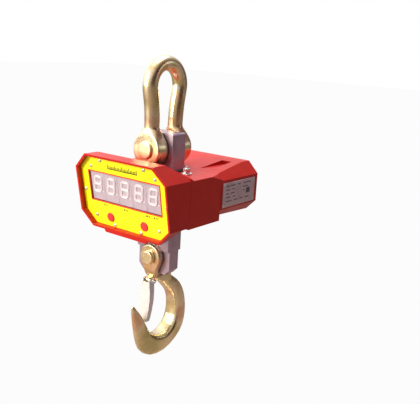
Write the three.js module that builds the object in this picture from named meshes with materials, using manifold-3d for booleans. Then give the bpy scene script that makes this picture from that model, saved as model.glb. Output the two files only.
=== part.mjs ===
// Crane scale with a five-digit display, hung from a bow shackle and carrying a clevis hook.
// Units are millimetres and +Z is up. The front display faces -Y.
// Everything is laid out on the load line (X = 0, Y = 0) with Z = 0 at the display's centre.
// The outer group then moves the origin to the inner crown of the bow, where the crane hook bears.

import * as THREE from 'three';
import { mergeVertices } from 'three/addons/utils/BufferGeometryUtils.js';
import Module from 'manifold-3d';

const wasm = await Module();
wasm.setup();

// ---------------------------------------------------------------- driving dimensions

const GAP = 0.3; // clearance kept between pieces that touch
const ROUND = 28; // sides of a turned part

// shackle
const BAR_R = 12.8;
const BOW_R = 36.8; // centre line radius of the bow's crown
const BOW_CENTRE_Z = 166.7;
const EYE_R = 28;
const SHOULDER_Z = 99; // an eye's shoulders run up the bar to here
const EYE_IN = 19; // inner face of an eye, from the load line
const EYE_OUT = 43;
const SHACKLE_PIN_R = 12;
const SHACKLE_PIN_Z = 63.7;
const SHACKLE_PIN = { head: 14.8, face: 47.5, tail: 56, cotterY: 50.8, tilt: -0.55 };
const CROWN_Z = BOW_CENTRE_Z + BOW_R - BAR_R; // inner crown, the object's origin

// load cell
const CELL_HALF_X = 35;
const CELL_HALF_Y = 16.5;
const CELL_TOP = 92;
const TONGUE_TOP = -110.5;
const TONGUE_HALF_Y = 11.5;
const TONGUE_BOTTOM = -153.5;
const TONGUE_CHAMFER = 10;
const GAUGE_POCKET = [22, 18, 8]; // half width, half height and depth of a strain gauge pocket
const GAUGE_Z = -8;
const CELL_HOLE = [CELL_HALF_X + 2.5, CELL_HALF_Y + 2.5]; // half width and depth of the housing's opening
const BRACKET_T = 3;
const BRACKET_TOP = -27.5;
const BRACKET_HALF_X = 24;
const BRACKET_BOLT_Z = -36;

// housing
const HALF_W = 98.5;
const FRONT_TOP = 54.2;
const FRONT_BOTTOM = -71.4;
const FRONT_UPPER_SUM = 127.6; // upper chamfer plane: |X| + Z
const FRONT_LOWER_SUM = 145.2; // lower chamfer plane: |X| - Z
const FRONT_TOP_Y = -108.8;
const FRONT_BOTTOM_Y = -85.5;
const FRONT_TOP_BACK_Y = -78;
const FRONT_LIP_Y = -80.5; // the underside is flat up to here, then rises in two folds
const FRONT_KNEE_Y = -72.5;
const FRONT_KNEE_Z = -66.5;
const FRONT_BELLY_Y = -61;
const FRONT_BELLY_Z = -47;
const MIDDLE_FRONT_Y = -44.7;
const MIDDLE_BACK_Y = 37.4;
const MIDDLE_TOP = 29;
const MIDDLE_BOTTOM = -49.7;
const MIDDLE_TOP_Y = -37; // the sloping top of the front meets the flat top here
const REAR_Y = 147;
const REAR_TOP = 38.3;
const REAR_TOP_Y = 123;
const REAR_BOTTOM = -50;
const REAR_UPPER_SUM = 116.7;
const REAR_LOWER_SUM = 130;
const WALL = 4;
const FACET_START_Y = 10; // the rear's upper chamfer fades in from here
const FACET_END_Y = 45;
const RECESS = { x0: 43.5, x1: 64, y0: 50, y1: 113, floor: 30 };
const REAR_FRONT_BOTTOM = -44; // underside where the rear meets the middle
const REAR_SEAT_Y = REAR_Y - 5; // the rear cover seats here
const REAR_COVER_T = 3;
const REAR_SCREWS = [[84, 12], [84, -28]]; // X, Z
const CHARGE_SOCKET = [-48, -26]; // X, Z
const ANTENNA = [57, -5]; // X, Y
const NAMEPLATE_T = 1.8;
const NAMEPLATE_Y = [42, 137];
const NAMEPLATE_Z = [-28.7, 13.4];
const PILOT_R = 1.8; // clearance hole for a small screw

// display face, in its own frame: u across, v up the face, w out of it
const FACE_TILT = THREE.MathUtils.degToRad(10.54);
const FACE_Y = -90;
const RIM_W = 8.6; // the rim stands this far in front of the yellow panel
const RIM_LIP = 3.5;
const RIM_TOP_V = 56.7;
const RIM_BOTTOM_V = -71;
const RIM_UPPER_SUM = 130.1;
const RIM_LOWER_SUM = 144.4;
const LEDGE = 12;
const PANEL_T = 2;
const WINDOW = [76.8, 25]; // half width and half height
const WINDOW_BORDER = 2;
const DIGITS = 5;
const DIGIT_PITCH = 30.3;
const BUTTON_U = 37.25;
const BUTTON_V = -51;
const BUTTON_R = 8;
const PANEL_SCREWS = [[47.6, 46.2], [69.4, 34.3], [89.2, -8.8], [68.9, -51.5], [29.2, -63.2]];

// hook
const HOOK_PIN_Z = -124;
const HOOK_PIN_R = 10;
const HOOK_PIN = { head: 12.3, face: 31, tail: 36, cotterY: 31.3, tilt: 0.4 };
const EAR_R = 22;
const EAR_IN = 13;
const EAR_OUT = 24;
const CROTCH_Z = -160;
const LATCH_PIVOT = [-22.5, -165.5]; // Y, Z
const LATCH_LUG_HALF = 5.5;
const LATCH_SHEET = 2;
const LATCH_PIVOT_R = 2.25;
const LUG_R = 5.6; // the lug on the hook's neck that carries the latch

// Stations along the hook from its neck to its point: inner edge, outer edge [Y, Z] and half width in X.
const HOOK_STATIONS = [
  { inner: [-9, -160], outer: [23.5, -157], half: 12 },
  { inner: [1, -172], outer: [31, -168], half: 13.5 },
  { inner: [15, -186], outer: [49, -181.5], half: 15 },
  { inner: [30, -202], outer: [63, -199], half: 16.5 },
  { inner: [37.5, -219], outer: [71, -222], half: 18 },
  { inner: [39.5, -238], outer: [73, -249], half: 19 },
  { inner: [34.5, -257], outer: [67, -276], half: 19.5 },
  { inner: [22, -270], outer: [46, -297], half: 20 },
  { inner: [7, -274.5], outer: [13, -311], half: 19.5 },
  { inner: [-9, -271.5], outer: [-20, -309], half: 17 },
  { inner: [-22, -263], outer: [-42, -292], half: 14 },
  { inner: [-30, -249], outer: [-53, -266], half: 11 },
  { inner: [-36.5, -236], outer: [-58.5, -244], half: 9 },
  { inner: [-43, -224.5], outer: [-62, -226], half: 7.5 },
  { inner: [-52, -213], outer: [-64.5, -211], half: 5 },
  { inner: [-59.5, -203.5], outer: [-64.5, -204.5], half: 2.6 },
];

// ---------------------------------------------------------------- helpers

const AXIS_FRAME = {
  x: [[0, 1, 0], [0, 0, 1], [1, 0, 0]],
  y: [[1, 0, 0], [0, 0, 1], [0, -1, 0]],
  z: [[1, 0, 0], [0, 1, 0], [0, 0, 1]],
};

function frameMatrix(axis) {
  const [a, b, c] = AXIS_FRAME[axis].map((row) => new THREE.Vector3(...row));
  return new THREE.Matrix4().makeBasis(a, b, c);
}

// A prism along one axis. Its outline is [Y, Z] along x, [X, Z] along y and [X, Y] along z.
function prism(axis, points, low, high) {
  const shape = new THREE.Shape(points.map(([a, b]) => new THREE.Vector2(a, b)));
  const geometry = new THREE.ExtrudeGeometry(shape, { depth: high - low, bevelEnabled: false });
  geometry.translate(0, 0, axis === 'y' ? -high : low);
  return geometry.applyMatrix4(frameMatrix(axis));
}

function circle(a, b, radius, sides = ROUND) {
  const points = [];
  for (let i = 0; i < sides; i += 1) {
    const angle = (2 * Math.PI * i) / sides;
    points.push([a + radius * Math.cos(angle), b + radius * Math.sin(angle)]);
  }
  return points;
}

function rectangle(a0, a1, b0, b1) {
  return [[a0, b0], [a1, b0], [a1, b1], [a0, b1]];
}

// Both halves of an outline that is given from top to bottom on its +side.
function mirrored(half) {
  return [...half, ...half.map(([a, b]) => [-a, b]).reverse()];
}

// An octagon of half width a, between bottom and top, cut by a + b = upper and a - b = lower.
function octagon(half, bottom, top, upper, lower) {
  return mirrored([
    [upper - top, top], [half, upper - half], [half, half - lower], [lower + bottom, bottom],
  ]);
}

function box(x0, x1, y0, y1, z0, z1) {
  const geometry = new THREE.BoxGeometry(x1 - x0, y1 - y0, z1 - z0);
  return geometry.translate((x0 + x1) / 2, (y0 + y1) / 2, (z0 + z1) / 2);
}

// A box centred on the load line.
function slab(halfX, halfY, z0, z1) {
  return box(-halfX, halfX, -halfY, halfY, z0, z1);
}

// A turned part from [radius, height] pairs that run up from the axis to the axis.
function turned(profile, axis, sides = ROUND) {
  const points = profile.map(([r, h]) => new THREE.Vector2(r, h));
  const geometry = new THREE.LatheGeometry(points, sides);
  if (axis === 'z') geometry.rotateX(Math.PI / 2);
  if (axis === 'x') geometry.rotateZ(-Math.PI / 2);
  return geometry;
}

// A round wire along a smooth path.
function wire(points, radius, steps, sides = 8) {
  const knots = points.map((p) => new THREE.Vector3(...p));
  const path = new THREE.CatmullRomCurve3(knots, false, 'catmullrom', 0.5);
  const outline = circle(0, 0, radius, sides).map(([a, b]) => new THREE.Vector2(a, b));
  const section = new THREE.Shape(outline);
  return new THREE.ExtrudeGeometry(section, { steps, extrudePath: path, bevelEnabled: false });
}

// A closed body through rings of equally many points; the rings' caps are flat.
function loft(rings) {
  const count = rings[0].length;
  const positions = rings.flat(2);
  const index = [];
  for (let r = 0; r < rings.length - 1; r += 1) {
    for (let i = 0; i < count; i += 1) {
      const a = r * count + i;
      const b = r * count + ((i + 1) % count);
      index.push(a, b, b + count, a, b + count, a + count);
    }
  }
  index.push(...cap(rings[0]).map(([a, b, c]) => [a, c, b]).flat());
  const last = (rings.length - 1) * count;
  index.push(...cap(rings[rings.length - 1]).flat().map((i) => i + last));
  const geometry = new THREE.BufferGeometry();
  geometry.setAttribute('position', new THREE.Float32BufferAttribute(positions, 3));
  geometry.setIndex(index);
  return geometry;
}

// The triangles of a flat ring, in the ring's own winding.
function cap(ring) {
  const centre = new THREE.Vector3();
  const normal = new THREE.Vector3();
  const corners = ring.map((p) => new THREE.Vector3(...p));
  corners.forEach((p) => centre.addScaledVector(p, 1 / corners.length));
  corners.forEach((p, i) => {
    const next = corners[(i + 1) % corners.length];
    normal.add(p.clone().sub(centre).cross(next.clone().sub(centre)));
  });
  normal.normalize();
  const across = corners[0].clone().sub(centre).projectOnPlane(normal).normalize();
  const up = normal.clone().cross(across);
  const flat = corners.map((p) => {
    const arm = p.clone().sub(centre);
    return new THREE.Vector2(arm.dot(across), arm.dot(up));
  });
  return THREE.ShapeUtils.triangulateShape(flat, []);
}

function toSolid(geometry) {
  const bare = geometry.clone();
  bare.deleteAttribute('normal');
  bare.deleteAttribute('uv');
  const welded = mergeVertices(bare, 1e-4);
  return new wasm.Manifold(new wasm.Mesh({
    numProp: 3,
    vertProperties: new Float32Array(welded.attributes.position.array),
    triVerts: new Uint32Array(welded.index.array),
  }));
}

function toGeometry(solid) {
  const { vertProperties, triVerts } = solid.getMesh();
  const geometry = new THREE.BufferGeometry();
  geometry.setAttribute('position', new THREE.BufferAttribute(vertProperties, 3));
  geometry.setIndex(new THREE.BufferAttribute(triVerts, 1));
  geometry.computeVertexNormals();
  return geometry;
}

const join = (...pieces) => pieces.map(toSolid).reduce((whole, piece) => whole.add(piece));

function cut(base, ...tools) {
  const whole = base instanceof THREE.BufferGeometry ? toSolid(base) : base;
  return tools.map(toSolid).reduce((rest, tool) => rest.subtract(tool), whole);
}

const common = (...pieces) => pieces.map(toSolid).reduce((whole, piece) => whole.intersect(piece));

// ---------------------------------------------------------------- materials

function finish(color, roughness, metalness) {
  return () => new THREE.MeshStandardMaterial({ color, roughness, metalness });
}

const FINISH = {
  passivatedSteel: finish('#b8984a', 0.35, 1),
  nickelSteel: finish('#b9b1b0', 0.3, 1),
  zincSteel: finish('#b9bcc4', 0.3, 1),
  redCoat: finish('#b81a1c', 0.45, 0),
  yellowPanel: finish('#f1ec1f', 0.4, 0),
  borderPlastic: finish('#e0562a', 0.45, 0),
  clearAcrylic: finish('#d6d0d8', 0.1, 0),
  displayPlastic: finish('#c6bec8', 0.5, 0),
  buttonPlastic: finish('#d22e34', 0.4, 0),
  blackPlastic: finish('#1b1b1d', 0.5, 0),
  rubber: finish('#1f1f20', 0.8, 0),
  aluminiumPlate: finish('#a9a7a6', 0.4, 1),
  circuitBoard: finish('#1f5a34', 0.5, 0),
  batteryPlastic: finish('#2b2d31', 0.55, 0),
  cableJacket: finish('#4a4a4c', 0.6, 0),
};

const crown = new THREE.Group();
crown.position.z = -CROWN_Z;

const face = new THREE.Group();
face.position.y = FACE_Y;
face.rotation.x = Math.PI / 2 + FACE_TILT;
crown.add(face);

function put(group, name, shape, material) {
  const geometry = shape instanceof THREE.BufferGeometry ? shape : toGeometry(shape);
  const mesh = new THREE.Mesh(geometry, material());
  mesh.name = name;
  group.add(mesh);
  return mesh;
}

// ---------------------------------------------------------------- shackle

function bowPath() {
  const bar = [[28.9, SHACKLE_PIN_Z + 8], [28.9, 84], [29.2, 95], [29.6, 113], [31.7, 136]];
  const side = (sign) => bar.map(([y, z]) => [0, sign * y, z]);
  const points = side(1);
  for (let degrees = -15; degrees <= 195; degrees += 15) {
    const angle = THREE.MathUtils.degToRad(degrees);
    points.push([0, BOW_R * Math.cos(angle), BOW_CENTRE_Z + BOW_R * Math.sin(angle)]);
  }
  points.push(...side(-1).reverse());
  return points;
}

// An eye with the shoulders that run up into the bar.
function shackleEye(sign) {
  const disc = prism('y', circle(0, SHACKLE_PIN_Z, EYE_R, 36), EYE_IN, EYE_OUT);
  const neck = prism('z', circle(0, 29.2, BAR_R - 0.3, 16), SHOULDER_Z - 1, SHOULDER_Z);
  const eye = wasm.Manifold.hull([toSolid(disc), toSolid(neck)]);
  return sign > 0 ? eye : eye.mirror([0, 1, 0]);
}

function shackleBow() {
  const body = toSolid(wire(bowPath(), BAR_R, 48, 16)).add(shackleEye(1)).add(shackleEye(-1));
  const bore = prism('y', circle(0, SHACKLE_PIN_Z, SHACKLE_PIN_R + GAP), -EYE_OUT - 5, EYE_OUT + 5);
  const reach = EYE_R + 5;
  const jaw = box(-reach, reach, -EYE_IN, EYE_IN, SHACKLE_PIN_Z - reach, CELL_TOP + 3);
  const sweep = CELL_HALF_Y + 0.8;
  const cellSweep = box(-reach, reach, -sweep, sweep, CELL_TOP, CELL_TOP + 20);
  return cut(body, bore, jaw, cellSweep);
}

// A headed clevis pin along Y, with a cross hole for its split pin.
function clevisPin(radius, headRadius, headFace, headBack, tail, z, cotterY, cotterTilt) {
  const chamfer = 1.2;
  const profile = [
    [0, -headFace], [headRadius - chamfer, -headFace], [headRadius, -headFace + chamfer],
    [headRadius, -headBack], [radius, -headBack], [radius, tail - chamfer], [radius - chamfer, tail],
    [0, tail],
  ];
  const hole = prism('z', circle(0, 0, 2.7, 12), -radius * 2, radius * 2);
  hole.rotateY(cotterTilt);
  hole.translate(0, cotterY, 0);
  return toGeometry(cut(turned(profile, 'y'), hole)).translate(0, 0, z);
}

function washer(inner, outer, y0, y1, z) {
  const ring = [[inner, y0], [outer, y0], [outer, y1], [inner, y1], [inner, y0]];
  return turned(ring, 'y').translate(0, 0, z);
}

// A split pin: two legs side by side through the pin, an eye above and bent ends below.
function cotter(pinRadius, y, z, tilt) {
  const leg = 1.25;
  const top = pinRadius + 1.5;
  const foot = -pinRadius - 5;
  const points = [
    [-8, 0, foot - 3], [-leg - 1, 0, foot], [-leg, 0, -pinRadius], [-leg, 0, 0], [-leg, 0, top],
    [-3.6, 0, top + 4], [-2.6, 0, top + 8], [0, 0, top + 9.4], [2.6, 0, top + 8], [3.6, 0, top + 4],
    [leg, 0, top], [leg, 0, 0], [leg, 0, -pinRadius], [leg + 1, 0, foot], [5, 0, foot - 6],
  ];
  return wire(points, 1.1, 36, 6).rotateY(tilt).translate(0, y, z);
}

function buildShackle() {
  const pin = SHACKLE_PIN;
  put(crown, 'shackle_bow', shackleBow(), FINISH.passivatedSteel);
  put(crown, 'shackle_pin', clevisPin(
    SHACKLE_PIN_R, pin.head, pin.face, EYE_OUT + GAP, pin.tail, SHACKLE_PIN_Z, pin.cotterY, pin.tilt,
  ), FINISH.passivatedSteel);
  put(crown, 'shackle_pin_washer', washer(
    SHACKLE_PIN_R + GAP, 19, EYE_OUT + GAP, EYE_OUT + GAP + 3, SHACKLE_PIN_Z,
  ), FINISH.passivatedSteel);
  const splitPin = cotter(SHACKLE_PIN_R, pin.cotterY, SHACKLE_PIN_Z, pin.tilt);
  put(crown, 'shackle_cotter', splitPin, FINISH.zincSteel);
}

// ---------------------------------------------------------------- load cell

function loadCell() {
  const side = [
    [-CELL_HALF_Y, CELL_TOP], [-CELL_HALF_Y, TONGUE_TOP], [-TONGUE_HALF_Y, TONGUE_TOP],
    [-TONGUE_HALF_Y, TONGUE_BOTTOM], [TONGUE_HALF_Y, TONGUE_BOTTOM], [TONGUE_HALF_Y, TONGUE_TOP],
    [CELL_HALF_Y, TONGUE_TOP], [CELL_HALF_Y, CELL_TOP],
  ];
  const front = mirrored([
    [CELL_HALF_X - 2, CELL_TOP], [CELL_HALF_X, CELL_TOP - 2],
    [CELL_HALF_X, TONGUE_BOTTOM + TONGUE_CHAMFER], [CELL_HALF_X - TONGUE_CHAMFER, TONGUE_BOTTOM],
  ]);
  const deep = CELL_HALF_Y + 5;
  const blank = common(prism('x', side, -CELL_HALF_X, CELL_HALF_X), prism('y', front, -deep, deep));
  const upperBore = prism('y', circle(0, SHACKLE_PIN_Z, SHACKLE_PIN_R + GAP), -deep, deep);
  const lowerBore = prism('y', circle(0, HOOK_PIN_Z, HOOK_PIN_R + GAP), -deep, deep);
  const [px, pz, depth] = GAUGE_POCKET;
  const pocket = (y0, y1) => box(-px, px, y0, y1, GAUGE_Z - pz, GAUGE_Z + pz);
  const earRelief = (y0, y1) => prism('y', circle(0, HOOK_PIN_Z, EAR_R + 2.5, 40), y0, y1);
  return cut(
    blank, upperBore, lowerBore,
    pocket(-deep, depth - CELL_HALF_Y), pocket(CELL_HALF_Y - depth, deep),
    earRelief(-deep, -TONGUE_HALF_Y), earRelief(TONGUE_HALF_Y, deep),
  );
}

// A cover that sinks into a gauge pocket; the front one has a hole for the lead.
function gaugeCover(sign) {
  const [px, pz] = GAUGE_POCKET;
  const outer = CELL_HALF_Y - 0.5;
  const [y0, y1] = sign < 0 ? [-outer, -outer + 2] : [outer - 2, outer];
  const plate = box(-px + GAP, px - GAP, y0, y1, GAUGE_Z - pz + GAP, GAUGE_Z + pz - GAP);
  if (sign > 0) return plate;
  return cut(plate, prism('y', circle(12, GAUGE_Z + 6, 2.6, 16), y0 - 2, y1 + 2));
}

// An angle bracket between the load cell and the middle housing's floor.
function cellBracket(sign) {
  const near = CELL_HALF_Y + GAP;
  const floor = MIDDLE_BOTTOM + WALL + GAP;
  const outline = [
    [near, floor], [near + 20, floor], [near + 20, floor + BRACKET_T],
    [near + BRACKET_T, floor + BRACKET_T], [near + BRACKET_T, BRACKET_TOP], [near, BRACKET_TOP],
  ].map(([y, z]) => [sign * y, z]);
  const hole = prism('y', circle(0, BRACKET_BOLT_Z, 3.3, 16), -near - 10, near + 10);
  return cut(prism('x', outline, -BRACKET_HALF_X, BRACKET_HALF_X), hole);
}

// A hexagon-head bolt along Y whose head bears on a bracket.
function bracketBolt(sign) {
  const seat = CELL_HALF_Y + 2 * GAP + BRACKET_T;
  const head = prism('y', circle(0, BRACKET_BOLT_Z, 5.8, 6), seat, seat + 4);
  const shank = prism('y', circle(0, BRACKET_BOLT_Z, 3, 16), CELL_HALF_Y + GAP, seat + 2);
  const bolt = toGeometry(join(head, shank));
  return sign > 0 ? bolt : bolt.rotateZ(Math.PI);
}

function loadCellLead() {
  const z = GAUGE_Z + 6;
  const path = [[12, -12, z], [12, -20, z], [14, -28, z + 3], [20, -36, z + 8], [26, -42, z + 12]];
  return wire(path, 2, 22);
}

// A rubber frame round the load cell: a flange on the housing and a collar down into its opening.
function gasket(flangeZ, collarZ) {
  const [hx, hy] = CELL_HOLE;
  const lip = 3;
  return cut(
    join(slab(hx + lip, hy + lip, ...flangeZ), slab(hx - GAP, hy - GAP, ...collarZ)),
    slab(CELL_HALF_X + GAP, CELL_HALF_Y + GAP, MIDDLE_BOTTOM - 9, MIDDLE_TOP + 9),
  );
}

function buildLoadCell() {
  put(crown, 'load_cell', loadCell(), FINISH.nickelSteel);
  put(crown, 'gauge_cover_front', gaugeCover(-1), FINISH.nickelSteel);
  put(crown, 'gauge_cover_rear', gaugeCover(1), FINISH.nickelSteel);
  put(crown, 'load_cell_lead', loadCellLead(), FINISH.cableJacket);
  put(crown, 'cell_bracket_front', cellBracket(-1), FINISH.zincSteel);
  put(crown, 'cell_bracket_rear', cellBracket(1), FINISH.zincSteel);
  put(crown, 'bracket_bolt_front', bracketBolt(-1), FINISH.zincSteel);
  put(crown, 'bracket_bolt_rear', bracketBolt(1), FINISH.zincSteel);
  const top = MIDDLE_TOP + GAP;
  const bottom = MIDDLE_BOTTOM - GAP;
  put(crown, 'top_gasket', gasket([top, top + 1.6], [top - 4, top + 1.6]), FINISH.rubber);
  put(crown, 'bottom_gasket', gasket([bottom - 1.6, bottom], [bottom - 1.6, bottom + 2.4]), FINISH.rubber);
}

// ---------------------------------------------------------------- housing

// The height at y of the straight line through two [Y, Z] points.
function lineHeight([ya, za], [yb, zb], y) {
  return za + ((y - ya) * (zb - za)) / (yb - ya);
}

const slopeTop = (y) => lineHeight([FRONT_TOP_BACK_Y, FRONT_TOP], [MIDDLE_TOP_Y, MIDDLE_TOP], y);
const rearTop = (y) => lineHeight([MIDDLE_BACK_Y, MIDDLE_TOP], [REAR_TOP_Y, REAR_TOP], y);

const toFace = new THREE.Matrix4().makeRotationX(Math.PI / 2 + FACE_TILT).setPosition(0, FACE_Y, 0);

function facePrism(points, w0, w1) {
  return prism('z', points, w0, w1).applyMatrix4(toFace);
}

function rimOctagon(inset) {
  const slant = inset * Math.SQRT2;
  return octagon(
    HALF_W - inset, RIM_BOTTOM_V + inset, RIM_TOP_V - inset, RIM_UPPER_SUM - slant, RIM_LOWER_SUM - slant,
  );
}

// The outer or, with an inset, the inner shape of the front housing.
function frontBlock(inset, backY) {
  const slant = inset * Math.SQRT2;
  const side = [
    [FRONT_TOP_Y + 4 * inset, FRONT_TOP - inset],
    [FRONT_TOP_BACK_Y, FRONT_TOP - inset],
    [backY, slopeTop(backY) - inset * 1.2],
    [backY, FRONT_BELLY_Z + inset],
    [FRONT_BELLY_Y + inset - slant, FRONT_BELLY_Z + inset],
    [FRONT_KNEE_Y - inset * 0.4, FRONT_KNEE_Z + 3.5 * inset],
    [FRONT_LIP_Y + inset, FRONT_BOTTOM + 5 * inset],
    [FRONT_BOTTOM_Y + 3 * inset, FRONT_BOTTOM + 5 * inset],
  ];
  const section = octagon(
    HALF_W - inset, FRONT_BOTTOM + inset, FRONT_TOP - inset,
    FRONT_UPPER_SUM - slant, FRONT_LOWER_SUM - slant,
  );
  return common(prism('x', side, -HALF_W, HALF_W), prism('y', section, FRONT_TOP_Y - 5, backY + 5));
}

// The front housing's shell with its rim, the panel's ledge and the bosses for the panel's screws.
function frontHousing() {
  const back = MIDDLE_FRONT_Y - GAP;
  const seat = -PANEL_T - GAP;
  const floor = seat - 2.3; // pilot holes and the buttons' reliefs stop here
  const shell = frontBlock(0, back).add(toSolid(frontTab()));
  const buttons = bothSides([[BUTTON_U, BUTTON_V]]);
  const bosses = bothSides([PANEL_SCREWS[1], PANEL_SCREWS[3]]);
  const ledge = cut(
    shell.subtract(frontBlock(WALL, back + 1)),
    facePrism(rimOctagon(RIM_LIP), seat, RIM_W + 5),
    facePrism(rimOctagon(RIM_LIP + LEDGE), -10, 0),
    ...buttons.map(([u, v]) => facePrism(circle(u, v, BUTTON_R + 1, 24), floor, 0)),
  );
  const body = bosses
    .map(([u, v]) => toSolid(facePrism(circle(u, v, 5, 16), seat - 6, seat)))
    .reduce((whole, boss) => whole.add(boss), ledge);
  const pilots = panelScrewPlaces().map(([u, v]) => facePrism(circle(u, v, PILOT_R, 10), floor, 0));
  return cut(body, ...pilots);
}

// A shallow lip under the middle of the rim.
function frontTab() {
  const bottom = RIM_BOTTOM_V - 5;
  return facePrism(mirrored([[48.5, RIM_BOTTOM_V + 2], [45, bottom]]), RIM_W - 4, RIM_W);
}

// The space above a chamfer of the rear's upper edge, which fades out in the middle housing.
function chamferSpace(sign) {
  const far = HALF_W + 20;
  const top = rearTop(FACET_END_Y);
  const facet = [
    new THREE.Vector3(sign * HALF_W, FACET_START_Y, MIDDLE_TOP),
    new THREE.Vector3(sign * (REAR_UPPER_SUM - top), FACET_END_Y, top),
    new THREE.Vector3(sign * HALF_W, FACET_END_Y, REAR_UPPER_SUM - HALF_W),
  ];
  const plane = new THREE.Plane().setFromCoplanarPoints(...facet);
  if (plane.normal.z < 0) plane.negate();
  const above = new THREE.BoxGeometry(240, 240, 80).translate(0, 0, 40);
  const tilt = new THREE.Quaternion().setFromUnitVectors(new THREE.Vector3(0, 0, 1), plane.normal);
  above.applyQuaternion(tilt);
  above.translate(...facet[0].toArray());
  const fading = common(above, box(-far, far, FACET_START_Y - 60, FACET_END_Y, -90, 90));
  const wedge = [[REAR_UPPER_SUM - 60, 60], [far, 60], [far, REAR_UPPER_SUM - far]]
    .map(([x, z]) => [sign * x, z]);
  return fading.add(toSolid(prism('y', wedge, FACET_END_Y, REAR_Y + 10)));
}

function middleHousing() {
  const y0 = MIDDLE_FRONT_Y;
  const y1 = MIDDLE_BACK_Y;
  const outer = [
    [y0, MIDDLE_BOTTOM], [y1, MIDDLE_BOTTOM], [y1, MIDDLE_TOP],
    [MIDDLE_TOP_Y, MIDDLE_TOP], [y0, slopeTop(y0)],
  ];
  const inner = rectangle(y0 - 1, y1 + 1, MIDDLE_BOTTOM + WALL, MIDDLE_TOP - WALL);
  const inside = HALF_W - WALL;
  const room = mirrored([[inside - 12, MIDDLE_TOP], [inside, MIDDLE_TOP - 22], [inside, MIDDLE_BOTTOM]]);
  const cavity = common(prism('x', inner, -inside, inside), prism('y', room, y0 - 9, y1 + 9));
  const block = toSolid(prism('x', outer, -HALF_W, HALF_W))
    .subtract(cavity)
    .subtract(chamferSpace(1))
    .subtract(chamferSpace(-1));
  return cut(block, slab(...CELL_HOLE, -90, 90), prism('z', circle(...ANTENNA, 4.3, 16), 0, 60));
}

// The rear housing's outer or, with an inset, inner shape along an [X, Z] section.
function rearBlock(section, inset, y0, y1) {
  const side = [
    [y0, REAR_FRONT_BOTTOM + inset], [y1, REAR_BOTTOM + inset], [y1, REAR_TOP - inset],
    [REAR_TOP_Y, REAR_TOP - inset], [y0, rearTop(y0) - inset],
  ];
  return common(prism('x', side, -HALF_W, HALF_W), prism('y', section, y0, y1));
}

// One of the two hand recesses in the rear's top, grown by a wall for the space it takes inside.
function recess(sign, wall) {
  const { x0, x1, y0, y1, floor } = RECESS;
  const [low, high] = [sign * (x0 - wall), sign * (x1 + wall)].sort((a, b) => a - b);
  return box(low, high, y0 - wall, y1 + wall, floor - wall, 60);
}

function rearOctagon(inset, bottom, top) {
  const slant = inset * Math.SQRT2;
  return octagon(HALF_W - inset, bottom, top, REAR_UPPER_SUM - slant, REAR_LOWER_SUM - slant);
}

function rearCoverOutline(inset) {
  return rearOctagon(inset, REAR_BOTTOM + inset, REAR_TOP - inset);
}

function rearScrewHoles() {
  return rearScrewPlaces().map(([x, z]) => prism('y', circle(x, z, PILOT_R, 10), REAR_SEAT_Y - 11, REAR_Y));
}

function rearHousing() {
  const y0 = MIDDLE_BACK_Y + GAP;
  const outline = mirrored([[HALF_W, 80], [HALF_W, HALF_W - REAR_LOWER_SUM], [REAR_LOWER_SUM - 60, -60]]);
  const shell = rearBlock(outline, 0, y0, REAR_Y)
    .subtract(chamferSpace(1))
    .subtract(chamferSpace(-1));
  const pocket = rearBlock(rearOctagon(WALL, -80, 80), WALL, y0 - 1, REAR_Y - 12)
    .subtract(toSolid(recess(1, WALL)))
    .subtract(toSolid(recess(-1, WALL)));
  return cut(
    shell.subtract(pocket),
    recess(1, 0),
    recess(-1, 0),
    prism('y', rearCoverOutline(WALL), REAR_SEAT_Y, REAR_Y + 5),
    prism('y', rearCoverOutline(WALL + 14), REAR_Y - 20, REAR_Y),
    ...rearScrewHoles(),
  );
}

function rearCover() {
  const face0 = REAR_SEAT_Y + GAP;
  const plate = prism('y', rearCoverOutline(WALL + GAP), face0, face0 + REAR_COVER_T);
  const socketHole = prism('y', circle(...CHARGE_SOCKET, 6.3), REAR_SEAT_Y - 2, REAR_Y);
  return cut(plate, ...rearScrewHoles(), socketHole);
}

const bothSides = (places) => [-1, 1].flatMap((sign) => places.map(([a, b]) => [sign * a, b]));
const rearScrewPlaces = () => bothSides(REAR_SCREWS);
const panelScrewPlaces = () => bothSides(PANEL_SCREWS);

// A pan-head screw along local Z, head up, with its seat at z = 0.
function panScrew(headRadius, headHeight, shankRadius, length) {
  const head = [
    [0, -length], [shankRadius, -length], [shankRadius, 0.01], [headRadius, 0.01],
    [headRadius, headHeight * 0.4], [headRadius * 0.8, headHeight * 0.85], [headRadius * 0.4, headHeight],
    [0, headHeight],
  ];
  const reach = headRadius * 0.6;
  const slot = box(-reach, reach, -0.45, 0.45, headHeight * 0.55, headHeight + 1);
  return toGeometry(cut(turned(head, 'z', 12), slot));
}

function buildHousing() {
  put(crown, 'front_housing', frontHousing(), FINISH.redCoat);
  put(crown, 'middle_housing', middleHousing(), FINISH.redCoat);
  put(crown, 'rear_housing', rearHousing(), FINISH.redCoat);
  put(crown, 'rear_cover', rearCover(), FINISH.redCoat);
  rearScrewPlaces().forEach(([x, z], i) => {
    const screw = put(crown, `rear_cover_screw_${i + 1}`, panScrew(3.4, 1.6, 1.5, 8), FINISH.zincSteel);
    screw.position.set(x, REAR_SEAT_Y + 2 * GAP + REAR_COVER_T, z);
    screw.rotation.x = -Math.PI / 2;
  });
  const plate = box(HALF_W + GAP, HALF_W + GAP + NAMEPLATE_T, ...NAMEPLATE_Y, ...NAMEPLATE_Z);
  put(crown, 'nameplate', plate, FINISH.aluminiumPlate);
}

// ---------------------------------------------------------------- display face

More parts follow.
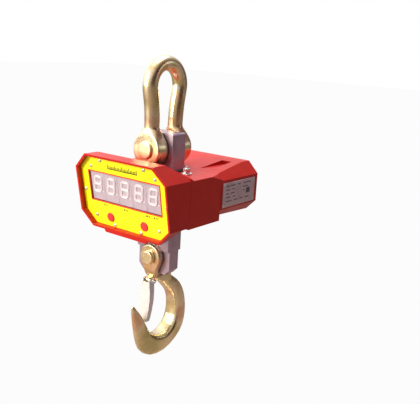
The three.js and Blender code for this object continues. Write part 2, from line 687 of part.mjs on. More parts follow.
function facePanel() {
  const [hu, hv] = WINDOW;
  const border = WINDOW_BORDER;
  const opening = rectangle(-hu - border, hu + border, -hv - border, hv + border);
  return cut(
    prism('z', rimOctagon(RIM_LIP + GAP), -PANEL_T, 0),
    prism('z', opening, -9, 9),
    ...[-1, 1].map((sign) => prism('z', circle(sign * BUTTON_U, BUTTON_V, BUTTON_R + GAP, 32), -9, 9)),
    ...panelScrewPlaces().map(([u, v]) => prism('z', circle(u, v, PILOT_R, 10), -9, 9)),
  );
}

function windowFrame() {
  const [hu, hv] = WINDOW;
  const reach = WINDOW_BORDER - GAP;
  return cut(slab(hu + reach, hv + reach, -PANEL_T, 0.8), slab(hu, hv, -9, 9));
}

function digitModule(u) {
  const half = (DIGIT_PITCH - GAP) / 2;
  return box(u - half, u + half, -24.5, 24.5, -11.5, -2.3);
}

function buttonCap(u) {
  const cap = [[0, -2.8], [BUTTON_R - 0.2, -2.8], [BUTTON_R - 0.2, 1.4], [BUTTON_R - 1, 2], [0, 2]];
  return turned(cap, 'z', 32).translate(u, BUTTON_V, 0);
}

function boxedSwitch(u) {
  const v = BUTTON_V + 3;
  const body = box(u - 3, u + 3, v - 3, v + 3, -11.6, -5.6);
  return join(body, prism('z', circle(u, v, 1.6, 12), -6, -4.6));
}

function buildFace() {
  put(face, 'face_panel', facePanel(), FINISH.yellowPanel);
  put(face, 'window_frame', windowFrame(), FINISH.borderPlastic);
  const [hu, hv] = WINDOW;
  put(face, 'display_window', slab(hu - GAP, hv - GAP, -1.8, -0.2), FINISH.clearAcrylic);
  for (let i = 0; i < DIGITS; i += 1) {
    put(face, `digit_${i + 1}`, digitModule((i - (DIGITS - 1) / 2) * DIGIT_PITCH), FINISH.displayPlastic);
  }
  put(face, 'left_button', buttonCap(-BUTTON_U), FINISH.buttonPlastic);
  put(face, 'right_button', buttonCap(BUTTON_U), FINISH.buttonPlastic);
  put(face, 'left_button_switch', boxedSwitch(-BUTTON_U), FINISH.blackPlastic);
  put(face, 'right_button_switch', boxedSwitch(BUTTON_U), FINISH.blackPlastic);
  const board = mirrored([[78, 32], [78, -36], [50, -36], [50, -50]]);
  put(face, 'display_board', prism('z', board, -13.6, -12), FINISH.circuitBoard);
  panelScrewPlaces().forEach(([u, v], i) => {
    const screw = put(face, `panel_screw_${i + 1}`, panScrew(3, 2, 1.5, 4), FINISH.nickelSteel);
    screw.position.set(u, v, GAP);
  });
}

// ---------------------------------------------------------------- electronics and power

function antennaStub() {
  const profile = [[0, -8], [3.6, -8], [3.6, 10.6], [1.8, 10.6], [1.8, 12.8], [1.2, 13.4], [0, 13.4]];
  return turned(profile, 'z', 16);
}

function antennaNut() {
  const nut = prism('z', circle(0, 0, 6.3, 6), 2 * GAP + 1.4, 2 * GAP + 9);
  return cut(nut, prism('z', circle(0, 0, 3.9, 16), 0, 20));
}

function antennaWasher() {
  return turned([[4, GAP], [9.5, GAP], [9.5, GAP + 1.4], [4, GAP + 1.4], [4, GAP]], 'z', 24);
}

function battery() {
  const body = box(-50.5, 50.5, 58, 128, -39.5, 5.5);
  const post = (x) => box(x - 3, x + 3, 62, 66, 5, 12);
  return join(body, post(-36), post(36));
}

// A strap over the battery, from side to side, with a foot at each end.
function batteryStrap() {
  const floor = -39.5;
  const foot = floor + 1.2;
  const half = [[52.5, 7.8], [52.5, foot], [66, foot], [66, floor], [51, floor], [51, 6.3]];
  return prism('y', mirrored(half), 84, 102);
}

function chargeSocket() {
  const [x, z] = CHARGE_SOCKET;
  const y = REAR_SEAT_Y + 2 * GAP + REAR_COVER_T;
  const body = [[0, -10], [6, -10], [6, 0.01], [8.5, 0.01], [8.5, 1.2], [3.2, 1.2], [3.2, -6], [0, -6]];
  return turned(body, 'y', 24).translate(x, y, z);
}

function buildElectronics() {
  const stack = new THREE.Group();
  stack.position.set(ANTENNA[0], ANTENNA[1], MIDDLE_TOP);
  crown.add(stack);
  put(stack, 'antenna_washer', antennaWasher(), FINISH.zincSteel);
  put(stack, 'antenna_nut', antennaNut(), FINISH.zincSteel);
  put(stack, 'antenna_stub', antennaStub(), FINISH.blackPlastic);
  put(face, 'main_board', box(-62, 62, -42, 28, -29.6, -28), FINISH.circuitBoard);
  put(crown, 'battery', battery(), FINISH.batteryPlastic);
  put(crown, 'battery_strap', batteryStrap(), FINISH.zincSteel);
  put(crown, 'charge_socket', chargeSocket(), FINISH.blackPlastic);
}

// ---------------------------------------------------------------- hook

// A rounded trapezoid between an inner and an outer edge, widest near the inner edge.
function hookRing({ x: ya, y: za }, { x: yb, y: zb }, half, sides) {
  const ring = [];
  for (let i = 0; i < sides; i += 1) {
    const angle = (2 * Math.PI * i) / sides;
    const across = Math.sign(Math.cos(angle)) * Math.abs(Math.cos(angle)) ** 0.7;
    const share = (1 - across) / 2;
    const taper = 1 - 0.35 * share;
    const wide = Math.sign(Math.sin(angle)) * Math.abs(Math.sin(angle)) ** 0.6;
    ring.push([half * wide * taper, ya + (yb - ya) * share, za + (zb - za) * share]);
  }
  return ring;
}

function hookBowl() {
  const curve = (key) => new THREE.SplineCurve(HOOK_STATIONS.map((s) => new THREE.Vector2(...s[key])));
  const inner = curve('inner');
  const outer = curve('outer');
  const halves = new THREE.SplineCurve(HOOK_STATIONS.map((s, i) => new THREE.Vector2(i, s.half)));
  const rings = [];
  const steps = 2 * (HOOK_STATIONS.length - 1);
  for (let i = steps; i >= 0; i -= 1) {
    const t = i / steps;
    rings.push(hookRing(inner.getPoint(t), outer.getPoint(t), halves.getPoint(t).y, 16));
  }
  return loft(rings);
}

function hookBody() {
  const ear = [];
  for (let degrees = -20; degrees <= 200; degrees += 10) {
    const angle = THREE.MathUtils.degToRad(degrees);
    ear.push([EAR_R * Math.cos(angle), HOOK_PIN_Z + EAR_R * Math.sin(angle)]);
  }
  const neck = [[-12.5, -151], [-11.5, -160], [-12.5, -174], [12.5, -174], [11.5, -160], [12.5, -151]];
  const front = [...ear, ...neck];
  const side = [
    [-EAR_OUT, -100], [-EAR_OUT, -146], [-21.5, -156], [-16, -163], [-8, -168.5], [5, -175], [27, -170],
    [EAR_OUT, -160], [EAR_OUT, -100],
  ];
  const clevis = common(prism('y', front, -EAR_OUT, EAR_OUT), prism('x', side, -EAR_R, EAR_R));
  const [py, pz] = LATCH_PIVOT;
  const lug = [];
  for (let degrees = 90; degrees <= 270; degrees += 15) {
    const angle = THREE.MathUtils.degToRad(degrees);
    lug.push([py + LUG_R * Math.cos(angle), pz + LUG_R * Math.sin(angle)]);
  }
  lug.push([2, pz - LUG_R], [2, -158]);
  const lugBar = prism('x', lug, -LATCH_LUG_HALF, LATCH_LUG_HALF);
  return cut(
    clevis.add(toSolid(hookBowl())).add(toSolid(lugBar)),
    box(-40, 40, -EAR_IN, EAR_IN, CROTCH_Z, -80),
    prism('y', circle(0, HOOK_PIN_Z, HOOK_PIN_R + GAP), -EAR_OUT - 5, EAR_OUT + 5),
    prism('x', circle(py, pz, LATCH_PIVOT_R + GAP, 16), -30, 30),
  );
}

// The safety latch: a folded sheet whose web faces the front, hung on its pivot.
function latch() {
  const stations = [
    { z: -162, web: -30.5, half: 8, depth: 11.3 },
    { z: -172, web: -30.8, half: 8.6, depth: 12.5 },
    { z: -184, web: -31.3, half: 10.6, depth: 11.5 },
    { z: -200, web: -31.9, half: 11.2, depth: 11 },
    { z: -220, web: -32.6, half: 9.4, depth: 10 },
    { z: -234, web: -33.1, half: 7.4, depth: 9 },
    { z: -240, web: -33.4, half: 6.4, depth: 8 },
  ];
  const t = LATCH_SHEET;
  const rings = stations.map(({ z, web, half, depth }) => [
    [-half, web + depth, z], [-half, web, z], [half, web, z], [half, web + depth, z],
    [half - t, web + depth, z], [half - t, web + t, z], [t - half, web + t, z], [t - half, web + depth, z],
  ]);
  const gap = stations[0].half - t;
  return cut(
    loft(rings.reverse()),
    prism('x', circle(...LATCH_PIVOT, LATCH_PIVOT_R + GAP, 16), -30, 30),
    box(-gap, gap, -40, -25, -168, -150),
  );
}

function latchPivot() {
  const profile = [
    [0, -11], [4, -11], [4, -8.6], [LATCH_PIVOT_R, -8.6], [LATCH_PIVOT_R, 14.4], [0, 14.4],
  ];
  return turned(profile, 'x', 16).translate(0, ...LATCH_PIVOT);
}

// The latch's coil spring: turns round the pivot's end, one arm down the latch and one on the neck.
function latchSpring() {
  const radius = 3.7;
  const turns = 3;
  const [py, pz] = LATCH_PIVOT;
  const points = [[11.2, py - radius, pz - 15], [9.6, py - radius, pz - 6]];
  const steps = turns * 8;
  for (let i = 0; i <= steps; i += 1) {
    const angle = Math.PI - (2 * Math.PI * turns * i) / steps;
    points.push([9.3 + (3.9 * i) / steps, py + radius * Math.cos(angle), pz + radius * Math.sin(angle)]);
  }
  points.push([13.2, py - radius, pz + 5]);
  return wire(points, 0.55, 64, 5);
}

function buildHook() {
  const pin = HOOK_PIN;
  put(crown, 'hook', hookBody(), FINISH.passivatedSteel);
  put(crown, 'hook_pin', clevisPin(
    HOOK_PIN_R, pin.head, pin.face, EAR_OUT + GAP, pin.tail, HOOK_PIN_Z, pin.cotterY, pin.tilt,
  ), FINISH.passivatedSteel);
  put(crown, 'hook_pin_washer', washer(
    HOOK_PIN_R + GAP, 17, EAR_OUT + GAP, EAR_OUT + GAP + 2.5, HOOK_PIN_Z,
  ), FINISH.passivatedSteel);
  const splitPin = cotter(HOOK_PIN_R, pin.cotterY, HOOK_PIN_Z, pin.tilt);
  put(crown, 'hook_cotter', splitPin, FINISH.zincSteel);
  put(crown, 'latch', latch(), FINISH.zincSteel);
  put(crown, 'latch_pivot', latchPivot(), FINISH.zincSteel);
  put(crown, 'latch_spring', latchSpring(), FINISH.zincSteel);
}

// ---------------------------------------------------------------- whole object

buildShackle();
buildLoadCell();
buildHousing();
buildFace();
buildElectronics();
buildHook();

const group = new THREE.Group();
group.add(crown);

export default group;
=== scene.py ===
"""Crane scale hung from a bow shackle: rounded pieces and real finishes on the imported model."""

import math

import bpy
from mathutils import Matrix, Vector


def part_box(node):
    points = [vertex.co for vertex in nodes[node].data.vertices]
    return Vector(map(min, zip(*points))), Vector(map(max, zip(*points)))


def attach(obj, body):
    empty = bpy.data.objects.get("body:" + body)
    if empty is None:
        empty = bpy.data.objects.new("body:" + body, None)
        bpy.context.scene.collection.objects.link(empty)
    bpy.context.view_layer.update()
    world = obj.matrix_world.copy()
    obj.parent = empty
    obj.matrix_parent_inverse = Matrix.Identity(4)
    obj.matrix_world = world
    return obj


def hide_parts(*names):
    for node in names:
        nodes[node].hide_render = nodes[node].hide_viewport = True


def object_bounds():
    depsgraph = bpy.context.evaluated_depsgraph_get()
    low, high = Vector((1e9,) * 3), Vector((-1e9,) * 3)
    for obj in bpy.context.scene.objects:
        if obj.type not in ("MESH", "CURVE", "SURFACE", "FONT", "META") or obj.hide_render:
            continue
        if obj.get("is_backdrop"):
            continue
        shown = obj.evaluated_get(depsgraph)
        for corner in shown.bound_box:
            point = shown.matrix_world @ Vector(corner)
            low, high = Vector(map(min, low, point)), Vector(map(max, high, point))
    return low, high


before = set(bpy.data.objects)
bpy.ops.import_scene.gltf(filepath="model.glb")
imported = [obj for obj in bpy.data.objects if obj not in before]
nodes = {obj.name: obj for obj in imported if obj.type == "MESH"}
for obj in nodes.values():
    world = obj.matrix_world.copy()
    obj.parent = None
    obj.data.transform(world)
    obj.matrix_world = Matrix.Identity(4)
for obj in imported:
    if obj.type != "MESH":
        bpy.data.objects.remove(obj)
cad_low, cad_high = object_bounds()
bpy.context.scene.view_settings.view_transform = "Standard"

# Blender works in metres; the sizes below are in millimetres, and heights are over the display's centre.
MM = 0.001
DISPLAY_Z = -190.7  # the display's centre, under the shackle's inner crown
DISPLAY_Y = -90
FACE_TILT = math.radians(10.54)  # the display leans back by this much
FACE_TURN = Matrix.Rotation(math.pi / 2 + FACE_TILT, 4, "X")
FACE = Matrix.Translation((0, DISPLAY_Y * MM, DISPLAY_Z * MM)) @ FACE_TURN
DIGITS = 5
PANEL_SCREWS = 10
COVER_SCREWS = 4
DIGIT_PITCH = 30.3
BUTTON_U = 37.25
BUTTON_V = -51
# Radii of a pin's head and bar, the head's depth, and the pin's height.
SHACKLE_PIN = {"head": 14.8, "head_depth": 4.2, "bar": 12, "z": 63.7}
HOOK_PIN = {"head": 12.3, "head_depth": 6.7, "bar": 10, "z": -124}
LATCH_PIVOT = (-22.5, -165.5)  # Y, Z
HOUSING_TOP = 29  # the flat top that the antenna stands on
# The data plate's thickness, its back in X, and its reach in Y and Z.
PLATE = {"t": 1.3, "back": 98.8, "y": (42, 137), "z": (-28.7, 13.4)}


# ---------------------------------------------------------------- modelling helpers

def clear():
    if bpy.context.object and bpy.context.object.mode != "OBJECT":
        bpy.ops.object.mode_set(mode="OBJECT")
    bpy.ops.object.select_all(action="DESELECT")


def use(obj):
    clear()
    obj.select_set(True)
    bpy.context.view_layer.objects.active = obj
    return obj


def edit(obj, pick="SELECT"):
    use(obj)
    bpy.ops.object.mode_set(mode="EDIT")
    bpy.ops.mesh.select_mode(type="VERT")
    bpy.ops.mesh.select_all(action=pick)


def modify(obj, kind, **settings):
    """Applies one modifier with these settings."""
    use(obj)
    modifier = obj.modifiers.new(kind.title(), kind)
    for key, value in settings.items():
        setattr(modifier, key, value)
    bpy.ops.object.modifier_apply(modifier=modifier.name)


def soften(obj, width, segments):
    """Rounds every edge sharper than 40 degrees."""
    sharp = math.radians(40)
    modify(obj, "BEVEL", width=width * MM, segments=segments, limit_method="ANGLE", angle_limit=sharp)


def smooth(obj):
    use(obj)
    bpy.ops.object.shade_smooth_by_angle(angle=math.radians(35))


def place(obj, matrix):
    """Puts a finished piece's place into its mesh, so that its object sits at the origin."""
    use(obj)
    obj.matrix_world = matrix @ obj.matrix_world
    bpy.ops.object.transform_apply(location=True, rotation=True, scale=True)


def join(name, pieces):
    clear()
    for piece in pieces:
        piece.select_set(True)
    bpy.context.view_layer.objects.active = pieces[0]
    bpy.ops.object.join()
    pieces[0].name = name
    return pieces[0]


def copy(obj, name):
    use(obj)
    bpy.ops.object.duplicate(linked=False)
    made = bpy.context.object
    made.name = name
    return made


def copy_node(node, name, whole_faces=True):
    """A node's solid as one welded mesh, with its flat faces made whole again."""
    made = copy(nodes[node], name)
    made.parent = None
    edit(made)
    bpy.ops.mesh.remove_doubles(threshold=0.002 * MM)
    if whole_faces:
        bpy.ops.mesh.dissolve_limited(angle_limit=math.radians(1))
    bpy.ops.object.mode_set(mode="OBJECT")
    made.data.materials.clear()
    return made


def round_edges(obj, width, shortest=6.0, bend=20.0):
    """Rounds the edges that are long enough and bend by enough degrees, and leaves small holes alone."""
    edit(obj, "DESELECT")
    bpy.ops.mesh.select_mode(type="EDGE")
    bpy.ops.mesh.edges_select_sharp(sharpness=math.radians(bend))
    bpy.ops.object.mode_set(mode="OBJECT")
    points = obj.data.vertices
    for line in obj.data.edges:
        a, b = (points[i].co for i in line.vertices)
        if (a - b).length < shortest * MM:
            line.select = False
    bpy.ops.object.mode_set(mode="EDIT")
    bpy.ops.mesh.bevel(offset=width * MM, segments=3, affect="EDGES", clamp_overlap=True)
    bpy.ops.object.mode_set(mode="OBJECT")
    smooth(obj)
    modify(obj, "WEIGHTED_NORMAL", keep_sharp=True)
    return obj


def turned(name, profile, where, sides=64, rounding=0.0):
    """A round body from (radius, height) steps, stood on its own Z and then put in place."""
    clear()
    radius, height = profile[0]
    bpy.ops.mesh.primitive_circle_add(
        vertices=sides, radius=radius * MM, fill_type="NGON", location=(0, 0, height * MM)
    )
    made = bpy.context.object
    made.name = name
    place(made, Matrix.Identity(4))
    edit(made)
    for (r0, h0), (r1, h1) in zip(profile, profile[1:]):
        bpy.ops.mesh.extrude_region_move(TRANSFORM_OT_translate={"value": (0, 0, (h1 - h0) * MM)})
        share = r1 / r0
        bpy.ops.transform.resize(value=(share, share, 1), center_override=(0, 0, h1 * MM))
    bpy.ops.mesh.select_all(action="SELECT")
    bpy.ops.mesh.normals_make_consistent(inside=False)
    bpy.ops.object.mode_set(mode="OBJECT")
    if rounding:
        soften(made, rounding, 4)
    place(made, where)
    smooth(made)
    return made


def block(name, size, centre, where, rounding=0.0):
    """A box, with rounded edges, put in place."""
    clear()
    bpy.ops.mesh.primitive_cube_add(
        size=1, location=[c * MM for c in centre], scale=[s * MM for s in size]
    )
    made = bpy.context.object
    made.name = name
    place(made, where)
    if rounding:
        soften(made, rounding, 3)
    smooth(made)
    return made


def upright(x, y, z):
    return Matrix.Translation((x * MM, y * MM, (z + DISPLAY_Z) * MM))


def along_y(x, y, z):
    return upright(x, y, z) @ Matrix.Rotation(-math.pi / 2, 4, "X")


def along_x(x, y, z):
    return upright(x, y, z) @ Matrix.Rotation(math.pi / 2, 4, "Y")


def on_face(u, v, w):
    """A place on the display's face: across, up the face, and out of it."""
    return FACE @ Matrix.Translation((u * MM, v * MM, w * MM))


# ---------------------------------------------------------------- finishes

WHITE = (1, 1, 1, 1)


def linear(hex_colour):
    """An sRGB hex colour as linear light."""
    values = [int(hex_colour[i : i + 2], 16) / 255 for i in (1, 3, 5)]
    return [v / 12.92 if v <= 0.04045 else ((v + 0.055) / 1.055) ** 2.4 for v in values] + [1.0]


def add(tree, kind, inputs=None, **settings):
    """One node with its settings, and its inputs as values or links."""
    made = tree.nodes.new(kind)
    for key, value in settings.items():
        setattr(made, key, value)
    for key, value in (inputs or {}).items():
        if isinstance(value, bpy.types.NodeSocket):
            tree.links.new(value, made.inputs[key])
        else:
            made.inputs[key].default_value = value
    return made


def set_ramp(ramp, stops):
    elements = ramp.color_ramp.elements
    while len(elements) > 1:
        elements.remove(elements[-1])
    elements[0].position, elements[0].color = stops[0][0], linear(stops[0][1])
    for position, colour in stops[1:]:
        elements.new(position).color = linear(colour)


def finish(name, stops, patch, rough, grain, depth, stretch=(1, 1, 1), **shader):
    """A surface whose colour runs through the stops over patches of this size, whose roughness
    wanders between two values, and whose grain of this size stands this deep, all in mm."""
    material = bpy.data.materials.new(name)
    material.use_nodes = True
    tree = material.node_tree
    tree.nodes.clear()
    place_on = add(tree, "ShaderNodeTexCoord").outputs["Object"]
    stretched = add(tree, "ShaderNodeMapping", {"Vector": place_on, "Scale": stretch}).outputs["Vector"]
    cloud = add(tree, "ShaderNodeTexNoise", {
        "Vector": place_on, "Scale": 1 / (patch * MM), "Detail": 3.0,
    })
    ramp = add(tree, "ShaderNodeValToRGB", {"Fac": cloud.outputs["Fac"]})
    set_ramp(ramp, stops)
    smears = add(tree, "ShaderNodeTexNoise", {
        "Vector": stretched, "Scale": 1 / (0.4 * patch * MM), "Detail": 4.0,
    })
    rough_map = add(tree, "ShaderNodeMapRange", {
        "Value": smears.outputs["Fac"],
        "From Min": 0.3, "From Max": 0.7,
        "To Min": rough[0], "To Max": rough[1],
    })
    fine = add(tree, "ShaderNodeTexNoise", {
        "Vector": stretched, "Scale": 1 / (grain * MM), "Detail": 2.0,
    })
    bump = add(tree, "ShaderNodeBump", {
        "Height": fine.outputs["Fac"], "Distance": depth * MM, "Strength": 1.0,
    })
    values = {
        "Base Color": ramp.outputs["Color"],
        "Roughness": rough_map.outputs["Result"],
        "Normal": bump.outputs["Normal"],
    }
    values.update(shader)
    surface = add(tree, "ShaderNodeBsdfPrincipled", values)
    add(tree, "ShaderNodeOutputMaterial", {"Surface": surface.outputs["BSDF"]})
    return material


def clear_sheet(name, tint):
    """A clear sheet that mirrors only on its outer faces, so that what is behind it stays lit."""
    material = bpy.data.materials.new(name)
    material.use_nodes = True
    tree = material.node_tree
    tree.nodes.clear()
    place_on = add(tree, "ShaderNodeTexCoord").outputs["Object"]
    haze = add(tree, "ShaderNodeTexNoise", {"Vector": place_on, "Scale": 60.0, "Detail": 3.0})
    rough = add(tree, "ShaderNodeMapRange", {
        "Value": haze.outputs["Fac"], "To Min": 0.03, "To Max": 0.09,
    })
    gloss = add(tree, "ShaderNodeBsdfGlossy", {"Color": WHITE, "Roughness": rough.outputs["Result"]})
    through = add(tree, "ShaderNodeBsdfTransparent", {"Color": linear(tint)})
    fresnel = add(tree, "ShaderNodeFresnel", {"IOR": 1.49})
    inside = add(tree, "ShaderNodeNewGeometry").outputs["Backfacing"]
    outside = add(tree, "ShaderNodeMath", {0: 1.0, 1: inside}, operation="SUBTRACT")
    share = add(
        tree, "ShaderNodeMath",
        {0: fresnel.outputs["Fac"], 1: outside.outputs["Value"]},
        operation="MULTIPLY",
    )
    mixed = add(tree, "ShaderNodeMixShader", {
        0: share.outputs["Value"], 1: through.outputs["BSDF"], 2: gloss.outputs["BSDF"],
    })
    add(tree, "ShaderNodeOutputMaterial", {"Surface": mixed.outputs["Shader"]})
    return material


# Yellow zinc chromate on forged steel: gold that drifts to green and pink, over a forged skin.
chromate = finish(
    "yellow_zinc_chromate",
    [(0.30, "#cbc58a"), (0.42, "#ecdfac"), (0.52, "#f7eac4"), (0.60, "#ecc49c"), (0.70, "#dfd096")],
    patch=48, rough=(0.24, 0.34), grain=7.0, depth=0.014, Metallic=1.0,
)
# The same plating on turned pins: smoother, with lathe rings too fine to show.
chromate_pin = finish(
    "yellow_zinc_chromate_turned",
    [(0.32, "#ece0ae"), (0.5, "#f6eac4"), (0.66, "#ead09e")],
    patch=18, rough=(0.28, 0.36), grain=3.0, depth=0.004, Metallic=1.0,
)
# Nickel on milled steel: a cool grey with a faint lilac cast and fine cutter marks.
nickel = finish(
    "nickel_plated_steel",
    [(0.3, "#aa99ad"), (0.5, "#bcacbf"), (0.7, "#b19fb4")],
    patch=30, rough=(0.32, 0.44), grain=0.8, depth=0.018, stretch=(1, 1, 0.12), Metallic=0.9,
)
# Bright zinc on sheet and hardware: a bluish white metal with small spangles.
zinc = finish(
    "bright_zinc",
    [(0.3, "#d6d8de"), (0.5, "#eceef2"), (0.7, "#dfe1e7")],
    patch=9, rough=(0.26, 0.36), grain=14.0, depth=0.006, Metallic=1.0,
)
# Zinc on the pressed latch: whiter and more even than on the small hardware.
zinc_sheet = finish(
    "zinc_plated_sheet",
    [(0.3, "#dcdde2"), (0.5, "#e8e8ec"), (0.7, "#e2e2e7")],
    patch=30, rough=(0.34, 0.42), grain=9.0, depth=0.004, Metallic=0.35,
)
# Powder coat on steel sheet: deep red under a soft sheen, with an orange-peel surface of about 1 mm.
powder = finish(
    "red_powder_coat",
    [(0.3, "#ad120b"), (0.5, "#bb180d"), (0.7, "#b4150b")],
    patch=60, rough=(0.36, 0.46), grain=2.4, depth=0.02,
    **{"Specular IOR Level": 0.32, "Coat Weight": 0.05, "Coat Roughness": 0.3},
)
# Screen-printed polyester overlay: saturated yellow with a fine, even texture.
overlay = finish(
    "yellow_polyester_overlay",
    [(0.3, "#ecee08"), (0.5, "#f2f410"), (0.7, "#eef00a")],
    patch=45, rough=(0.34, 0.44), grain=0.7, depth=0.012,
)
# Black screen ink on the overlay, a little glossier than the film.
ink = finish(
    "black_screen_ink",
    [(0.3, "#22200c"), (0.7, "#302c10")],
    patch=6, rough=(0.3, 0.45), grain=0.5, depth=0.008,
)
# Orange-red moulded border round the window.
border = finish(
    "orange_red_abs",
    [(0.3, "#d8391c"), (0.7, "#e04425")],
    patch=20, rough=(0.3, 0.42), grain=0.8, depth=0.01,
)
# Grey-lilac paint on the face of an unlit digit module.
digit_grey = finish(
    "digit_face_paint",
    [(0.3, "#cfcbd2"), (0.7, "#d6d2d9")],
    patch=14, rough=(0.45, 0.6), grain=0.6, depth=0.01,
)
# Milky epoxy of an unlit segment, which lets a little light in.
segment_white = finish(
    "milky_segment_epoxy",
    [(0.3, "#fbf8fa"), (0.7, "#ffffff")],
    patch=5, rough=(0.35, 0.5), grain=0.5, depth=0.01,
    **{"Subsurface Weight": 0.1, "Subsurface Scale": 0.001},
)
# Red moulded push button, with a fine satin texture.
button_red = finish(
    "red_moulded_button",
    [(0.3, "#cf2b31"), (0.7, "#dc353a")],
    patch=7, rough=(0.32, 0.45), grain=0.6, depth=0.012,
)
# Black glass-filled nylon, matt and a little uneven.
black = finish(
    "black_moulded_nylon",
    [(0.3, "#17171a"), (0.7, "#232327")],
    patch=6, rough=(0.4, 0.6), grain=0.5, depth=0.02,
)
# Extruded neoprene seal, matt and slightly dusty.
neoprene = finish(
    "neoprene_seal",
    [(0.3, "#1b1b1c"), (0.7, "#2b2a2b")],
    patch=8, rough=(0.7, 0.88), grain=0.6, depth=0.03,
)
# Brushed aluminium plate, with the brush lines along its length.
brushed = finish(
    "brushed_aluminium",
    [(0.3, "#b7a3ad"), (0.5, "#c8b6bf"), (0.7, "#bfacb6")],
    patch=25, rough=(0.34, 0.5), grain=1.2, depth=0.015, stretch=(1, 0.04, 1), Metallic=0.45,
)
# Dark etched marks on the plate.
etched = finish(
    "dark_etched_marks",
    [(0.3, "#4a414a"), (0.7, "#5a505a")],
    patch=6, rough=(0.5, 0.65), grain=0.5, depth=0.01,
)
# Green solder mask over glass-epoxy board.
board_green = finish(
    "green_solder_mask",
    [(0.3, "#19502c"), (0.7, "#226238")],
    patch=12, rough=(0.3, 0.45), grain=0.9, depth=0.015,
)
# Moulded ABS of the battery case: dark grey and matt.
battery_case = finish(
    "battery_case_abs",
    [(0.3, "#27292d"), (0.7, "#33363b")],
    patch=20, rough=(0.45, 0.6), grain=0.8, depth=0.02,
)
# Extruded PVC cable jacket, mid grey and matt.
jacket = finish(
    "pvc_cable_jacket",
    [(0.3, "#414143"), (0.7, "#525254")],
    patch=5, rough=(0.5, 0.65), grain=0.5, depth=0.02,
)
window_clear = clear_sheet("clear_cast_acrylic", "#f4f2f6")


def dress(obj, material, body, nodes_replaced=()):
    """Gives a piece its finish, the body it moves with and the nodes it stands for."""
    obj.data.materials.clear()
    obj.data.materials.append(material)
    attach(obj, body)
    if nodes_replaced:
        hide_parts(*nodes_replaced)
    return obj


# ---------------------------------------------------------------- forgings and pins

def forge(node, name, passes):
    """Blends a forging's joints and edges as its dies leave them."""
    made = copy_node(node, name, whole_faces=False)
    modify(made, "REMESH", mode="VOXEL", voxel_size=1.0 * MM, use_smooth_shade=True)
    modify(made, "SMOOTH", factor=0.5, iterations=passes)
    use(made)
    bpy.ops.object.shade_smooth()
    return made


bow = forge("shackle_bow", "forged_bow", 26)
dress(bow, chromate, "shackle", ["shackle_bow"])
hook = forge("hook", "forged_hook", 24)
dress(hook, chromate, "hook", ["hook"])


def headed_pin(node, name, body, pin):
    """A turned clevis pin with a rounded head in front and a chamfered tail."""
    low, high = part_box(node)
    front, back = low.y / MM, high.y / MM
    head, bar = pin["head"], pin["bar"]
    neck = front + pin["head_depth"]
    profile = [
        (head - 1.6, front), (head, front + 1.4), (head, neck),
        (bar, neck), (bar, back - 2.2), (bar - 2, back),
    ]
    made = turned(name, profile, along_y(0, 0, pin["z"]), rounding=0.7)
    return dress(made, chromate_pin, body, [node])


headed_pin("shackle_pin", "turned_shackle_pin", "shackle", SHACKLE_PIN)
headed_pin("hook_pin", "turned_hook_pin", "hook", HOOK_PIN)

for node, body in (("shackle_pin_washer", "shackle"), ("hook_pin_washer", "hook")):
    ring = round_edges(copy_node(node, node + "_rounded"), 0.5, shortest=1.0, bend=50)
    dress(ring, chromate_pin, body, [node])


def wire_piece(node, name, material, body):
    """A bent wire with its facets smoothed away."""
    made = copy_node(node, name, whole_faces=False)
    modify(made, "SUBSURF", levels=2, render_levels=2)
    use(made)
    bpy.ops.object.shade_smooth()
    return dress(made, material, body, [node])


wire_piece("shackle_cotter", "shackle_split_pin", zinc, "shackle")
wire_piece("hook_cotter", "hook_split_pin", zinc, "hook")
wire_piece("latch_spring", "latch_coil_spring", zinc, "hook")
wire_piece("load_cell_lead", "gauge_lead", jacket, "scale")

latch = round_edges(copy_node("latch", "folded_latch", whole_faces=False), 0.7, shortest=4, bend=50)
dress(latch, zinc_sheet, "latch", ["latch"])


def latch_rivet():
    """A domed head on one side and a straight bar through to the spring on the other."""
    head, bar = 4, 2.25
    low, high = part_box("latch_pivot")
    left, right = low.x / MM, high.x / MM
    profile = [
        (head - 0.8, left), (head, left + 0.8), (head, left + 2.4), (bar, left + 2.4),
        (bar, right - 0.6), (bar - 0.55, right),
    ]
    return turned("latch_rivet", profile, along_x(0, *LATCH_PIVOT), sides=32, rounding=0.3)


dress(latch_rivet(), zinc, "hook", ["latch_pivot"])

cell = round_edges(copy_node("load_cell", "milled_load_cell"), 0.9, shortest=5)
dress(cell, nickel, "scale", ["load_cell"])

# ---------------------------------------------------------------- housing

FOLDS = {"front_housing": 1.0, "middle_housing": 1.0, "rear_housing": 1.0, "rear_cover": 0.6}
for node, radius in FOLDS.items():
    shell = round_edges(copy_node(node, node + "_coated"), radius, shortest=7)
    dress(shell, powder, "scale", [node])


def data_plate():
    depth = PLATE["t"]
    (y0, y1), (z0, z1) = PLATE["y"], PLATE["z"]
    size = (depth, y1 - y0, z1 - z0)
    centre = (PLATE["back"] + depth / 2, (y0 + y1) / 2, (z0 + z1) / 2)
    return block("data_plate", size, centre, upright(0, 0, 0), 0.35)


def plate_marks():
    """Plain etched bars and a square: a data plate's layout with nothing to read."""
    ink_t = 0.1
    x = PLATE["back"] + PLATE["t"] + 0.03
    # Each row's height, and where its bars start and how long they are.
    rows = {
        7.5: [(50, 9), (63, 14), (84, 8), (102, 22)],
        1.0: [(50, 12), (68, 7), (100, 16)],
        -5.5: [(50, 8), (64, 11), (100, 6)],
        -12.0: [(50, 13), (70, 8)],
        -18.5: [(50, 18), (74, 12), (92, 9), (107, 13)],
    }
    marks = []
    for z, bars in rows.items():
        for start, length in bars:
            centre = (x, start + length / 2, z)
            marks.append(block("bar", (ink_t, length, 1.7), centre, upright(0, 0, 0)))
    marks.append(block("square", (ink_t, 11, 9.5), (x, 116, -7), upright(0, 0, 0)))
    return join("data_plate_marks", marks)


